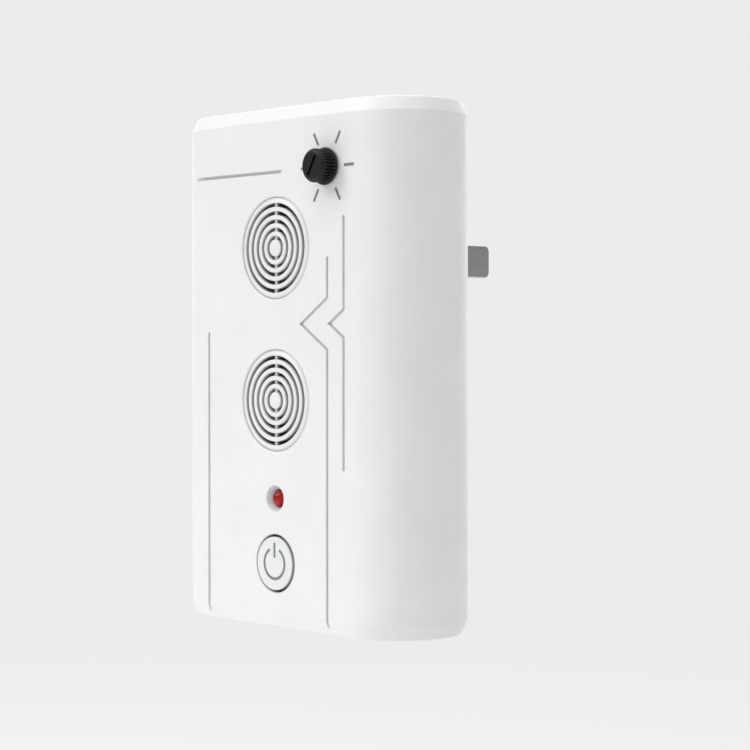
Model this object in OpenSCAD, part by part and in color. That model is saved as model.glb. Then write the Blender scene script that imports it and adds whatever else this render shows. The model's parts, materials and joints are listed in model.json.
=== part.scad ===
// Plug-in ultrasonic pest repeller with two sounders, a range dial and a power button.
// Millimetres, +Z up, +Y towards the wall, seen from the front +X is to the right.
// The origin is on the wall face of the plug boss, midway between the two blades.
// Sub-parts are drawn about the middle of the body and moved there by in_body().

/* [Body] */
// Width across the rounded sides
body_w = 66; // [65:0.5:70]
// Depth from the front face to the back face
body_d = 25; // [24.8:0.1:25.6]
// Height from bottom to top
body_h = 97; // [96.5:0.5:100]
// Height of the bevel along the top and bottom edges
bevel_h = 2.55; // [2:0.05:2.8]
// How far that bevel leans in
bevel_in = 1.1; // [0.8:0.1:1.6]
// Wall thickness of both shells
wall = 2; // [1.8:0.1:2.1]
// Depth of the rear cover behind its joint line
cover_d = 3.3; // [3.1:0.1:3.5]

/* [Grooves] */
// Width of the decorative grooves
groove_w = 0.6; // [0.4:0.1:0.8]
// Depth of the decorative grooves
groove_d = 0.65; // [0.4:0.05:0.8]

/* [Grilles] */
// Height of the upper grille above the middle of the body
upper_z = 22.3; // [21.5:0.1:22.8]
// Height of the lower grille above the middle of the body
lower_z = -6.1; // [-7:0.1:-5.5]
// Radius of a grille insert
grille_r = 9.45; // [9.2:0.05:9.6]
// Number of ring slots in a grille
slot_count = 5; // [3:1:5]
// Middle radius of the smallest ring slot
slot_r = 1.93; // [1.8:0.01:2]
// Distance between ring slots
slot_pitch = 1.52; // [1.48:0.01:1.54]
// Width of a ring slot
slot_w = 0.72; // [0.6:0.02:0.8]
// Width of the upright that crosses the slots
bridge_w = 0.7; // [0.5:0.05:1]

/* [Range dial] */
// Dial axis to the right of the middle
knob_x = 14.6; // [14.5:0.05:15]
// Dial axis above the middle
knob_z = 36.5; // [36:0.05:36.6]
// Widest radius of the knob's front part
knob_r = 3.08; // [3:0.02:3.2]
// Radius of the knob's rear flange
knob_flange_r = 3.4; // [3.3:0.05:3.5]
// How far the knob stands out from the front face
knob_out = 3.75; // [3.65:0.05:4]
// Number of grooves in the knurl
knurl_count = 32; // [18:1:36]
// Number of tick marks around the dial
tick_count = 6; // [4:1:8]
// Direction of the knob's pointer groove, anticlockwise from +X
pointer_angle = 240; // [0:10:350]

/* [Indicator and button] */
// Height of the indicator lamp
lamp_z = -24.4; // [-24.6:0.1:-24]
// Height of the power button
button_z = -36.5; // [-36.6:0.1:-36]
// Radius of the power button
button_r = 5.1; // [4.8:0.05:5.2]
// How far the button stands out from the front face
button_out = 0.1; // [0.1:0.1:0.6]
// Travel of the button
button_travel = 0.5; // [0.3:0.1:0.5]

/* [Plug] */
// Height of the plug above the middle of the body
plug_z = 20.9; // [20:0.1:22]
// Depth of the boss that the blades stand on
boss_d = 8; // [7:0.5:9]
// Width of the boss
boss_w = 30; // [29:0.5:32]
// Height of the boss
boss_h = 24; // [23:0.5:26]
// Centre distance of the blades
blade_pitch = 12.7; // [12.7:0.1:12.8]
// Length of a blade outside the boss
blade_out = 17.4; // [16:0.1:18.2]
// Width of a blade
blade_w = 6.35; // [6.2:0.05:6.5]
// Thickness of a blade
blade_t = 1.5; // [1.4:0.05:1.65]

/* [Hidden] */
$fn = 48;
lap = 1;                                  // how far a cutter runs past what it cuts
seat = 0.5;                               // how far a boss is sunk into the wall that carries it
front = -body_d / 2;
back = body_d / 2;
inner_front = front + wall;
inner_back = back - wall;
joint_y = back - cover_d;                 // plane where the two shells meet
half_x = body_w / 2 + lap;
half_z = body_h / 2 + lap;
rib_at = [24.6, 44.6];                    // ribs of the cover that locate the front shell
rib_half = [26, 15];
rib_t = 1;
rib_reach = 1.4;
label = [44, 34, 0.3];                    // shallow flat on the back: width, height and depth
label_r = 2;
label_z = -20;

// Middle lines of the grooves as [x, z]; some run out through an edge of the body
groove_lines = [
    [[-half_x, 36.4], [1.6, 36.4]],
    [[-19.6, 6.4], [-19.6, -half_z]],
    [[14.6, 20], [14.6, 12.8], [7.4, 8.1], [14.6, 3.4], [14.6, -half_z]],
    [[19, 27.2], [19, 10.6], [15.2, 8.1], [19, 5.6], [19, -18.2]]
];

// Front openings
grille_gap = 0.05;
grille_open_r = slot_r + (slot_count - 0.5) * slot_pitch;
bridge_recess = 0.35;                     // how far the upright lies behind the rings
flange_t = 1;
grille_back = inner_front + flange_t;
grille_flange_r = 10.4;
locator_r = [10.5, 11.5];                 // ring that centres a grille on the shell
locator_end = inner_front + 2;
button_gap = 0.3;
button_hole_r = button_r + button_gap;
button_dish = [0.9, 0.12];               // reach past the hole, and depth, of the dish round the button
button_rim = 1;
button_stem_r = 2;
button_flange_y = [inner_front + 0.3, inner_front + 1.3];
lamp_r = 1.6;
lamp_hole_r = 1.7;
lamp_cup_r = [2.5, 1.8];                  // at the front face and at the cup's floor
lamp_cup_d = 1.1;
lamp_tip = front - 0.05;
lamp_collar_y = [lamp_tip + lamp_r + 2.6, lamp_tip + lamp_r + 3.6];
lamp_collar_r = 2;
lamp_spacer_r = 2.4;
knob_hole_r = 2.75;

// Circuit board and its through-hole pins
board_front = front + 15.5;
board_back = board_front + 1.6;
board_w = 49.6;
board_h = 86;
board_neck = [39.2, 75];                  // width beyond the cover bosses and height where it starts
pin_w = 0.6;
pin_seat = board_front - 1;
pin_end = board_back + 1.4;
pin_hole_r = 0.5;
solder_r = 0.9;
solder_tip_r = 0.45;
solder_h = 0.8;
wire_x = 12.5;

// Screws
board_screw = [21.8, 29];
board_boss_r = 2.6;
board_screw_r = 0.9;
board_screw_len = 7;
board_head = [2, 1.4];                    // radius and height
cover_screw = [22.6, 41];
cover_boss_r = 2.6;
cover_boss_end = back - 5;
cover_screw_r = 1.1;
cover_screw_len = 9;
cover_head = [2.2, 1.2];
cover_head_seat = back - 2.3;
head_gap = 0.2;
cross = [2.2, 0.5, 0.7];                  // length, width and depth of a driver cross

// Sounders
can_r = 8.1;
can_t = 0.5;
can_mouth_r = 7;
gasket_r = [9.6, 7.4];
can_front = grille_back + 0.6;            // a foam gasket fills the gap to the grille
sounder_plate_y = [board_front - 4, board_front - 3.7];
sounder_pin_x = 5;
sounder_pin_front = board_front - 2.8;
screen_y = [can_front + can_t, can_front + can_t + 0.3];
screen_rows = 3;                          // rows of holes above and below the middle row
screen_hole = [0.65, 2];                  // radius and pitch
horn = [[0, 0], [1.4, 0], [4.4, 3.4], [3.9, 3.4], [1.1, 0.4], [0, 0.4]];
diaphragm_r = 6.2;
ceramic = [4.4, 0.5];                     // radius and thickness
sounder_base_y = [board_front - 2, board_front];
sounder_post_r = 2;

// Dial potentiometer, its axis at [knob_x, knob_z]
dial = [knob_x, knob_z];
pot_size = [9.5, 11];
pot_front = board_front - 6.4;
pot_wall = 0.4;
pot_cavity = [4.2, 4.4];                  // radius and depth
track_front = pot_front + pot_cavity[1] - 0.2;
rotor_r = 3.9;
wiper = [3.1, 0.6, 1.2];                  // distance from the axis, width and height
track_r = [3.9, 2.3];
track_gap = 2;
track_gap_z = [knob_z - 5, knob_z - 1.5];
pot_bush = [2.6, 2];                      // radius and length
rotor = [pot_front + 0.2, pot_front + 1.8];
knob_front = front - knob_out;
shaft_r = 1.5;
shaft_fit = 0.05;
shaft_flat = 1.1;                         // distance of the D flat from the axis
shaft_tip = knob_front + 1.5;
knob_rear = front - 0.4;
knob_stem_r = 2.45;
knurl_root_r = 2.68;
knurl_mouth = [knob_flange_r + 0.2, 0.4]; // radius where a groove's sides end, and its half width there
knob_face_r = 2.45;
knob_waist_r = 2.9;
knob_y = [for (d = [0, 0.64, 0.95, 2.35, 3]) knob_front + d];
pointer = [4.2, 0.6, 0.6];                // length, depth and width
tick_r = [4.6, 7.15];
tick_w = 0.44;
ink_t = 0.04;

// Push switch, its axis at [0, button_z]
button_at = [0, button_z];
switch_w = 6;
switch_front = board_front - 3.5;
plunger_r = 1.75;
plunger_front = board_front - 9.9;
plunger_lip = 0.3;
plunger_lip_y = [switch_front + 0.2, switch_front + 0.7];
dome_rise = 0.8;                          // room for the snap dome under the pressed plunger
switch_cavity_r = 2.3;
switch_cavity_d = plunger_lip_y[1] - switch_front + button_travel + dome_rise;
switch_cover_t = 0.3;
switch_fit = 0.1;
dome = [2, 0.15];                         // radius and thickness
symbol_r = 2.9;
symbol_w = 0.45;
symbol_bar_z = [button_z + 1.05, button_z + 3.95];
symbol_gap = 32;                          // half angle of the opening in the symbol's arc

// Plug inside the boss
boss_back = back + boss_d;
boss_wall = 2;
boss_round = 5;
boss_face_t = 2.5;
boss_inner = boss_back - boss_face_t;
blade_gap = 0.1;
blade_round = 1;
shoulder = [9, 2];                        // height and depth of a blade's shoulder
retainer = [inner_back + 2.5, inner_back + 4.5];
retainer_size = [24, 16];
retainer_round = 2;
retainer_boss_r = 2.2;
retainer_hole_end = boss_back - 1.2;
retainer_screw_z = 6.2;
retainer_screw_len = 4;
retainer_head = [1.6, 1.2];
blade_tail = inner_back + 1;
wire_r = 0.9;
wire_bend = 2;
wire_mid_y = inner_back - 2.5;            // run of the wire behind the board

// Components of the board, and where their pins go through it, as [x, z]
lead_pitch = 2.54;
sounder_pins = [for (z = [upper_z, lower_z], side = [-1, 1]) [side * sounder_pin_x, z]];
pot_pin_at = [for (i = [-1:1]) [knob_x + 2.5 * i, knob_z - 4]];
switch_pin_at = [for (side = [-1, 1], end = [-1, 1]) [2.3 * side, button_z + 2.3 * end]];
lamp_pin_at = [for (side = [-1, 1]) [1.27 * side, lamp_z]];
film_at = [-15.5, 24];
film_size = [6, 13];
film_round = 0.8;
film_front = board_front - 12;
film_pin_at = [for (end = [-1, 1]) film_at + [0, 5 * end]];
filter_at = [-17, -8];
filter_r = 4;
filter_front = board_front - 11.5;
filter_pin_at = [for (side = [-1, 1]) filter_at + [1.75 * side, 0]];
bridge_at = [-17, 8];
bridge_size = [6.5, 3.4, 8.5];
bridge_pin_at = [for (side = [-1, 1], end = [-1, 1]) bridge_at + [2.3 * side, 3.2 * end]];
fuse_at = [-9, 37];
fuse = [1.7, 9];                          // radius and length
fuse_pitch = 14;
fuse_pin_at = [for (side = [-1, 1]) fuse_at + [side * fuse_pitch / 2, 0]];
resistor_at = [for (i = [0:4]) [17, 15 - 4.5 * i]];
resistor = [1.15, 6.3];                   // radius and length
resistor_pitch = 10;
resistor_pin_at = [for (p = resistor_at, side = [-1, 1]) p + [side * resistor_pitch / 2, 0]];
chip_at = [17, -13.5];
chip_half = [3, 4.8];
chip_y = [board_front - 3.8, board_front - 0.5];
chip_pin_x = 3.4;
chip_pin_front = board_front - 2.5;
chip_pin_at = [for (side = [-1, 1], i = [0:3]) chip_at + [chip_pin_x * side, lead_pitch * (i - 1.5)]];
transistor_at = [for (i = [0:1]) [13 + 8 * i, -23]];
transistor_r = 2.3;
transistor_flat = 1.3;                    // distance of the flat face from the middle
transistor_y = [board_front - 7, board_front - 2.5];
transistor_pin_at = [for (p = transistor_at, i = [-1:1]) p + [1.9 * i, 0]];
inductor_at = [-15.5, -24.5];
inductor_r = [4.5, 2.2];                  // radius of its rims and of its core
inductor_rim = 1.2;
winding_r = 3.9;
winding_y = [board_front - 7.8, board_front - inductor_rim];
inductor_pin_at = [for (side = [-1, 1]) inductor_at + [2.5 * side, 0]];
all_pins = concat(sounder_pins, pot_pin_at, switch_pin_at, lamp_pin_at, film_pin_at, filter_pin_at,
    bridge_pin_at, fuse_pin_at, resistor_pin_at, chip_pin_at, transistor_pin_at, inductor_pin_at);

// Pair of ends of a stretch with its middle at c and half length h
function span(c, h) = [c - h, c + h];

// Outline of a line of the given width through points, with mitred corners
function heading(a, b) = (b - a) / norm(b - a);
function left_of(v) = [-v.y, v.x];
function mitre(p, i) =
    let (last = len(p) - 1,
         n0 = left_of(heading(p[max(i - 1, 0)], p[max(i, 1)])),
         n1 = left_of(heading(p[min(i, last - 1)], p[min(i + 1, last)])))
    (n0 + n1) / (1 + n0 * n1);
function stroke(p, w) = concat(
    [for (i = [0:len(p) - 1]) p[i] + mitre(p, i) * w / 2],
    [for (i = [len(p) - 1:-1:0]) p[i] - mitre(p, i) * w / 2]);

// Moves a sub-part from the middle of the body to the plug's frame
module in_body() translate([0, -boss_back, -plug_z]) children();

// Box between two corners, given as a pair for each axis
module bar(x, y, z)
    translate([x[0], y[0], z[0]])
        cube([x[1] - x[0], y[1] - y[0], z[1] - z[0]]);

// Round bar along Y at [x, z]
module rod(r, y, at = [0, 0])
    translate([at.x, y[1], at.y])
        rotate([90, 0, 0])
            cylinder(r = r, h = y[1] - y[0]);

// Cone along Y, with its radius at the front and at the back
module taper(r_front, r_back, y, at = [0, 0])
    translate([at.x, y[1], at.y])
        rotate([90, 0, 0])
            cylinder(r1 = r_back, r2 = r_front, h = y[1] - y[0]);

// Tube along Y
module tube(r_out, r_in, y, at = [0, 0])
    difference() {
        rod(r_out, y, at);
        rod(r_in, [y[0] - lap, y[1] + lap], at);
    }

// Flat shape drawn as seen from the front, between two planes
module plate(y)
    translate([0, y[1], 0])
        rotate([90, 0, 0])
            linear_extrude(y[1] - y[0])
                children();

// Block along Y with rounded corners: boxes and quarter rounds that meet face to face
module rounded_block(size, r, y, at = [0, 0]) {
    inner = size - [2 * r, 2 * r];
    depth = y[1] - y[0];
    translate([at.x, y[1], at.y])
        rotate([90, 0, 0]) {
            translate([-inner.x / 2, -size.y / 2, 0])
                cube([inner.x, size.y, depth]);
            for (side = [-1, 1]) {
                translate([side * (inner.x + r) / 2, 0, depth / 2])
                    cube([r, inner.y, depth], center = true);
                for (end = [-1, 1])
                    translate([side * inner.x / 2, end * inner.y / 2, 0])
                        rotate(atan2(end, side) - 45)
                            rotate_extrude(angle = 90)
                                square([r, depth]);
            }
        }
}

// Body of stadium section with bevelled ends, made smaller or larger by grow
module pill(grow = 0) {
    r = body_d / 2 + grow;
    flat = body_w - body_d;
    top = body_h / 2 + grow;
    edge = [[r, bevel_h - top], [r, top - bevel_h], [r - bevel_in, top]];
    half = concat([[0, -top], [r - bevel_in, -top]], edge, [[0, top]]);
    whole = concat(
        [[-(r - bevel_in), -top], [r - bevel_in, -top]], edge,
        [for (i = [2:-1:1]) [-edge[i].x, edge[i].y]], [[-r, bevel_h - top]]);
    translate([-flat / 2, 0, 0])
        rotate([90, 0, 90])
            linear_extrude(flat)
                polygon(whole);
    for (side = [-1, 1])
        translate([side * flat / 2, 0, 0])
            rotate(-90 * side)
                rotate_extrude(angle = 180)
                    polygon(half);
}

module corners(at)
    for (side = [-1, 1], end = [-1, 1])
        translate([side * at.x, 0, end * at.y])
            children();

module pins(at, y)
    for (p = at)
        bar(span(p.x, pin_w / 2), y, span(p.y, pin_w / 2));

// Screw along Y: its head is behind the seat plane and its shank in front of it
module screw(r, length, head, seat_y)
    difference() {
        union() {
            rod(r, [seat_y - length, seat_y + seat]);
            rod(head[0], [seat_y, seat_y + head[1]]);
        }
        for (turn = [0, 90])
            translate([0, seat_y + head[1] - cross[2] + lap / 2, 0])
                rotate([0, turn, 0])
                    cube([cross[0], lap, cross[1]], center = true);
    }

module grooves()
    plate([front - lap, front + groove_d])
        for (line = groove_lines)
            polygon(stroke(line, groove_w));

module front_openings() {
    through = [front - lap, inner_front + lap];
    for (z = [upper_z, lower_z])
        rod(grille_r + grille_gap, through, [0, z]);
    rod(knob_hole_r, through, dial);
    rod(button_hole_r, through, button_at);
    countersink([button_hole_r + button_dish.x, button_hole_r], button_dish.y, button_at);
    rod(lamp_hole_r, through, [0, lamp_z]);
    countersink(lamp_cup_r, lamp_cup_d, [0, lamp_z]);
}

// Conical cut into the front face, r at the face and at its floor
module countersink(r, depth, at) {
    rod(r[0], [front - lap, front], at);
    taper(r[0], r[1], [front, front + depth], at);
}

module front_shell() color([0.95, 0.95, 0.95]) in_body()
    difference() {
        union() {
            difference() {
                pill();
                pill(-wall);
                bar(span(0, half_x), [joint_y, back + lap], span(0, half_z));
            }
            for (z = [upper_z, lower_z])
                tube(locator_r[1], locator_r[0], [inner_front - seat, locator_end], [0, z]);
            corners(board_screw) rod(board_boss_r, [inner_front - seat, board_front]);
            corners(cover_screw) rod(cover_boss_r, [inner_front - seat, cover_boss_end]);
        }
        front_openings();
        grooves();
        corners(board_screw) rod(board_screw_r, [board_back - board_screw_len - lap, board_front + lap]);
        corners(cover_screw)
            rod(cover_screw_r, [cover_head_seat - cover_screw_len - lap, cover_boss_end + lap]);
    }

module locating_ribs() {
    depth = [joint_y - rib_reach, inner_back + seat];
    for (side = [-1, 1]) {
        bar(span(side * rib_at.x, rib_t / 2), depth, span(0, rib_half.x));
        bar(span(0, rib_half.y), depth, span(side * rib_at.y, rib_t / 2));
    }
}

module rear_cover() color([0.95, 0.95, 0.95]) in_body()
    difference() {
        union() {
            difference() {
                union() {
                    difference() {
                        pill();
                        pill(-wall);
                        bar(span(0, half_x), [front - lap, joint_y], span(0, half_z));
                    }
                    rounded_block([boss_w, boss_h], boss_round, [inner_back + seat, boss_back], [0, plug_z]);
                    corners(cover_screw) rod(cover_boss_r, [cover_boss_end, cover_head_seat]);
                    locating_ribs();
                }
                rounded_block([boss_w - 2 * boss_wall, boss_h - 2 * boss_wall], boss_round - boss_wall,
                    [inner_back - lap, boss_inner], [0, plug_z]);
            }
            for (end = [-1, 1])
                rod(retainer_boss_r, [retainer[1], boss_inner + seat], [0, plug_z + end * retainer_screw_z]);
        }
        for (side = [-1, 1])
            bar(span(side * blade_pitch / 2, blade_t / 2 + blade_gap), [boss_inner - lap, boss_back + lap],
                span(plug_z, blade_w / 2 + blade_gap));
        for (end = [-1, 1])
            rod(board_screw_r, [retainer[1] - lap, retainer_hole_end], [0, plug_z + end * retainer_screw_z]);
        corners(cover_screw) {
            rod(cover_screw_r + head_gap, [cover_boss_end - lap, back + lap]);
            rod(cover_head[0] + head_gap, [cover_head_seat, back + lap]);
        }
        rounded_block([label.x, label.y], label_r, [back - label.z, back + lap], [0, label_z]);
    }

module grille(z)
    difference() {
        union() {
            rod(grille_r, [front, grille_back], [0, z]);
            rod(grille_flange_r, [inner_front, grille_back], [0, z]);
        }
        rod(grille_open_r, [inner_front, grille_back + lap], [0, z]);
        for (k = [0:slot_count - 1])
            difference() {
                tube(slot_r + k * slot_pitch + slot_w / 2, slot_r + k * slot_pitch - slot_w / 2,
                    [front - lap, inner_front + lap], [0, z]);
                bar(span(0, bridge_w / 2), [front + bridge_recess, grille_back + lap],
                    span(z, grille_r));
            }
    }

module upper_grille() color([0.93, 0.93, 0.93]) in_body() grille(upper_z);
module lower_grille() color([0.93, 0.93, 0.93]) in_body() grille(lower_z);

module dial_scale() color([0.5, 0.5, 0.5]) in_body()
    intersection() {
        difference() {
            pill(ink_t);
            pill();
        }
        for (i = [0:tick_count - 1])
            translate([knob_x, 0, knob_z])
                rotate([0, -360 / tick_count * i, 0])
                    bar(tick_r, span(front, lap), span(0, tick_w / 2));
    }

module cover_screws() color([0.7, 0.7, 0.72]) in_body()
    corners(cover_screw) screw(cover_screw_r, cover_screw_len, cover_head, cover_head_seat);

module adjustment_knob() color([0.1, 0.1, 0.1]) in_body()
    difference() {
        union() {
            taper(knob_face_r, knob_r, [knob_y[0], knob_y[1]], dial);
            rod(knob_r, [knob_y[1], knob_y[2]], dial);
            taper(knob_r, knob_waist_r, [knob_y[2], knob_y[3]], dial);
            taper(knob_waist_r, knob_flange_r, [knob_y[3], knob_y[4]], dial);
            rod(knob_flange_r, [knob_y[4], knob_rear], dial);
            rod(knob_stem_r, [knob_rear, inner_front + lap], dial);
        }
        for (i = [0:knurl_count - 1])
            translate([knob_x, 0, knob_z])
                rotate([0, 360 / knurl_count * i, 0])
                    plate([knob_y[2], knob_y[4]])
                        polygon([[knurl_root_r, 0], knurl_mouth, [knurl_mouth.x, -knurl_mouth.y]]);
        translate([knob_x, 0, knob_z])
            rotate([0, -pointer_angle, 0])
                bar(span(0, pointer.x / 2), [knob_front - lap, knob_front + pointer.y],
                    span(0, pointer.z / 2));
        d_shaft([shaft_tip, inner_front + lap + lap]);
    }

// Round shaft with one flat, on the dial's axis
module d_shaft(y)
    intersection() {
        rod(shaft_r, y, dial);
        bar(span(knob_x, 2 * shaft_r), y, [knob_z - 2 * shaft_r, knob_z + shaft_flat]);
    }

module pot_shaft() color([0.85, 0.85, 0.82]) in_body() {
    d_shaft([shaft_tip, inner_front + lap]);
    rod(shaft_r, [inner_front + lap, rotor[0]], dial);
    rod(rotor_r, rotor, dial);
}

module pot_wiper() color([0.8, 0.65, 0.35]) in_body()
    for (side = [-1, 1])
        bar(span(knob_x + wiper.x * side, wiper.y / 2), [rotor[1], track_front - shaft_fit],
            span(knob_z, wiper.z / 2));

module pot_body() color([0.1, 0.25, 0.2]) in_body()
    difference() {
        bar(span(knob_x, pot_size.x / 2), [pot_front, board_front], span(knob_z, pot_size.y / 2));
        rod(pot_cavity[0], [pot_front - lap, pot_front + pot_cavity[1]], dial);
        pins(pot_pin_at, [pin_seat, board_front + lap]);
    }

module pot_cover() color([0.75, 0.75, 0.77]) in_body()
    difference() {
        union() {
            bar(span(knob_x, pot_size.x / 2), [pot_front - pot_wall, pot_front],
                span(knob_z, pot_size.y / 2));
            rod(pot_bush[0], [pot_front - pot_wall - pot_bush[1], pot_front - pot_wall], dial);
        }
        rod(shaft_r + shaft_fit, [pot_front - pot_wall - pot_bush[1] - lap, pot_front + lap], dial);
    }

module pot_track() color([0.15, 0.15, 0.15]) in_body()
    difference() {
        tube(track_r[0], track_r[1], [track_front, pot_front + pot_cavity[1]], dial);
        bar(span(knob_x, track_gap / 2), [pot_front, board_front], track_gap_z);
    }

module pot_pins() color([0.8, 0.8, 0.8]) in_body() pins(pot_pin_at, [pin_seat, pin_end]);

module power_button() color([0.93, 0.93, 0.93]) in_body() {
    rod(button_r, [front - button_out, button_flange_y[0]], button_at);
    rod(button_r + button_rim, button_flange_y, button_at);
    rod(button_stem_r, [button_flange_y[1], plunger_front], button_at);
}

module power_symbol() color([0.45, 0.5, 0.52]) in_body() {
    ink = [front - button_out - ink_t, front - button_out];
    difference() {
        tube(symbol_r + symbol_w / 2, symbol_r - symbol_w / 2, ink, button_at);
        translate([0, ink[1] + lap, button_z])
            rotate([90, 0, 0])
                linear_extrude(2 * lap + ink_t)
                    polygon([[0, 0], for (side = [-1, 1])
                        button_r * [-side * sin(symbol_gap), cos(symbol_gap)]]);
    }
    bar(span(0, symbol_w / 2), ink, symbol_bar_z);
}

module switch_plunger() color([0.15, 0.15, 0.15]) in_body() {
    rod(plunger_r, [plunger_front, plunger_lip_y[0]], button_at);
    rod(plunger_r + plunger_lip, plunger_lip_y, button_at);
}

module switch_body() color([0.12, 0.12, 0.12]) in_body()
    difference() {
        bar(span(0, switch_w / 2), [switch_front, board_front], span(button_z, switch_w / 2));
        rod(switch_cavity_r, [switch_front - lap, switch_front + switch_cavity_d], button_at);
        pins(switch_pin_at, [pin_seat, board_front + lap]);
    }

module switch_cover() color([0.75, 0.75, 0.77]) in_body()
    difference() {
        bar(span(0, switch_w / 2), [switch_front - switch_cover_t, switch_front],
            span(button_z, switch_w / 2));
        rod(plunger_r + switch_fit, [switch_front - lap, switch_front + lap], button_at);
    }

module switch_dome() color([0.8, 0.8, 0.82]) in_body()
    rod(dome[0], [switch_front + switch_cavity_d - dome[1], switch_front + switch_cavity_d], button_at);

module switch_pins() color([0.8, 0.8, 0.8]) in_body() pins(switch_pin_at, [pin_seat, pin_end]);

module lamp_lens() color([0.75, 0.1, 0.1, 0.9]) in_body() {
    shoulder_y = lamp_tip + lamp_r;
    translate([0, shoulder_y, lamp_z])
        rotate([90, 0, 0])
            rotate_extrude()
                intersection() {
                    circle(r = lamp_r);
                    square(2 * lamp_r);
                }
    rod(lamp_r, [shoulder_y, lamp_collar_y[0]], [0, lamp_z]);
    rod(lamp_collar_r, lamp_collar_y, [0, lamp_z]);
}

module lamp_leads() color([0.8, 0.8, 0.8]) in_body() pins(lamp_pin_at, [lamp_collar_y[1], pin_end]);

module lamp_spacer() color([0.9, 0.9, 0.88]) in_body()
    difference() {
        rod(lamp_spacer_r, [lamp_collar_y[1], board_front], [0, lamp_z]);
        pins(lamp_pin_at, [lamp_tip, board_front + lap]);
    }

module gasket(z) tube(gasket_r[0], gasket_r[1], [grille_back, can_front], [0, z]);

module sounder_can(z)
    difference() {
        rod(can_r, [can_front, board_front], [0, z]);
        rod(can_r - can_t, [can_front + can_t, board_front + lap], [0, z]);
        rod(can_mouth_r, [can_front - lap, board_front], [0, z]);
    }

module sounder_screen(z)
    difference() {
        rod(can_r - can_t, screen_y, [0, z]);
        for (row = [-screen_rows:screen_rows], i = [0:2 * screen_rows - abs(row)])
            rod(screen_hole[0], screen_y + span(0, lap),
                [(i - screen_rows + abs(row) / 2) * screen_hole[1], z + row * screen_hole[1] * sqrt(3) / 2]);
    }

module sounder_horn(z)
    translate([0, sounder_plate_y[0], z])
        rotate([90, 0, 0])
            rotate_extrude()
                polygon(horn);

module sounder_plate(z) rod(diaphragm_r, sounder_plate_y, [0, z]);

module sounder_ceramic(z) rod(ceramic[0], [sounder_plate_y[1], sounder_plate_y[1] + ceramic[1]], [0, z]);

module sounder_base(z)
    difference() {
        union() {
            rod(can_r - can_t, sounder_base_y, [0, z]);
            rod(sounder_post_r, [sounder_plate_y[1] + ceramic[1], sounder_base_y[0]], [0, z]);
        }
        pins([[-sounder_pin_x, z], [sounder_pin_x, z]], [sounder_base_y[0] - lap, board_front + lap]);
    }

module sounder_pins_at(z) pins([[-sounder_pin_x, z], [sounder_pin_x, z]], [sounder_pin_front, pin_end]);

module upper_gasket() color([0.2, 0.2, 0.2]) in_body() gasket(upper_z);
module lower_gasket() color([0.2, 0.2, 0.2]) in_body() gasket(lower_z);
module upper_sounder_can() color([0.75, 0.76, 0.78]) in_body() sounder_can(upper_z);
module lower_sounder_can() color([0.75, 0.76, 0.78]) in_body() sounder_can(lower_z);
module upper_sounder_screen() color([0.15, 0.15, 0.16]) in_body() sounder_screen(upper_z);
module lower_sounder_screen() color([0.15, 0.15, 0.16]) in_body() sounder_screen(lower_z);
module upper_sounder_horn() color([0.8, 0.8, 0.82]) in_body() sounder_horn(upper_z);
module lower_sounder_horn() color([0.8, 0.8, 0.82]) in_body() sounder_horn(lower_z);
module upper_sounder_plate() color([0.8, 0.68, 0.4]) in_body() sounder_plate(upper_z);
module lower_sounder_plate() color([0.8, 0.68, 0.4]) in_body() sounder_plate(lower_z);
module upper_sounder_ceramic() color([0.9, 0.88, 0.8]) in_body() sounder_ceramic(upper_z);
module lower_sounder_ceramic() color([0.9, 0.88, 0.8]) in_body() sounder_ceramic(lower_z);
module upper_sounder_base() color([0.12, 0.12, 0.12]) in_body() sounder_base(upper_z);
module lower_sounder_base() color([0.12, 0.12, 0.12]) in_body() sounder_base(lower_z);
module upper_sounder_pins() color([0.8, 0.8, 0.8]) in_body() sounder_pins_at(upper_z);
module lower_sounder_pins() color([0.8, 0.8, 0.8]) in_body() sounder_pins_at(lower_z);

module circuit_board() color([0.75, 0.6, 0.35]) in_body()
    difference() {
        union() {
            bar(span(0, board_w / 2), [board_front, board_back], span(0, board_neck[1] / 2));
            bar(span(0, board_neck[0] / 2), [board_front, board_back], span(0, board_h / 2));
        }
        for (p = all_pins)
            rod(pin_hole_r, [board_front - lap, board_back + lap], p);
        corners(board_screw) rod(board_screw_r + head_gap, [board_front - lap, board_back + lap]);
    }

module board_screws() color([0.7, 0.7, 0.72]) in_body()
    corners(board_screw) screw(board_screw_r, board_screw_len, board_head, board_back);

module solder_joints() color([0.8, 0.8, 0.82]) in_body()
    for (p = all_pins)
        difference() {
            taper(solder_r, solder_tip_r, [board_back, board_back + solder_h], p);
            pins([p], [board_back - lap, board_back + solder_h + lap]);
        }

module film_capacitor() color([0.75, 0.15, 0.1]) in_body() {
    rounded_block(film_size, film_round, [film_front, board_front], film_at);
    pins(film_pin_at, [board_front, pin_end]);
}

module filter_capacitor() color([0.1, 0.12, 0.2]) in_body() {
    rod(filter_r, [filter_front, board_front], filter_at);
    pins(filter_pin_at, [board_front, pin_end]);
}

module bridge_rectifier() color([0.1, 0.1, 0.1]) in_body() {
    bar(span(bridge_at.x, bridge_size.x / 2), [board_front - bridge_size.y, board_front],
        span(bridge_at.y, bridge_size.z / 2));
    pins(bridge_pin_at, [board_front, pin_end]);
}

// Component with a round body along X, held by two bent leads
module axial_part(r, length, pitch, at) {
    axis_y = board_front - r;
    translate([at.x, axis_y, at.y])
        rotate([0, 90, 0])
            cylinder(r = r, h = length, center = true);
    for (side = [-1, 1]) {
        lead = (pitch + pin_w - length) / 2;
        translate([at.x + side * (length + lead) / 2, axis_y, at.y])
            cube([lead, pin_w, pin_w], center = true);
        pins([at + [side * pitch / 2, 0]], [axis_y, pin_end]);
    }
}

module fuse_resistor() color([0.2, 0.4, 0.3]) in_body() axial_part(fuse[0], fuse[1], fuse_pitch, fuse_at);

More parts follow.
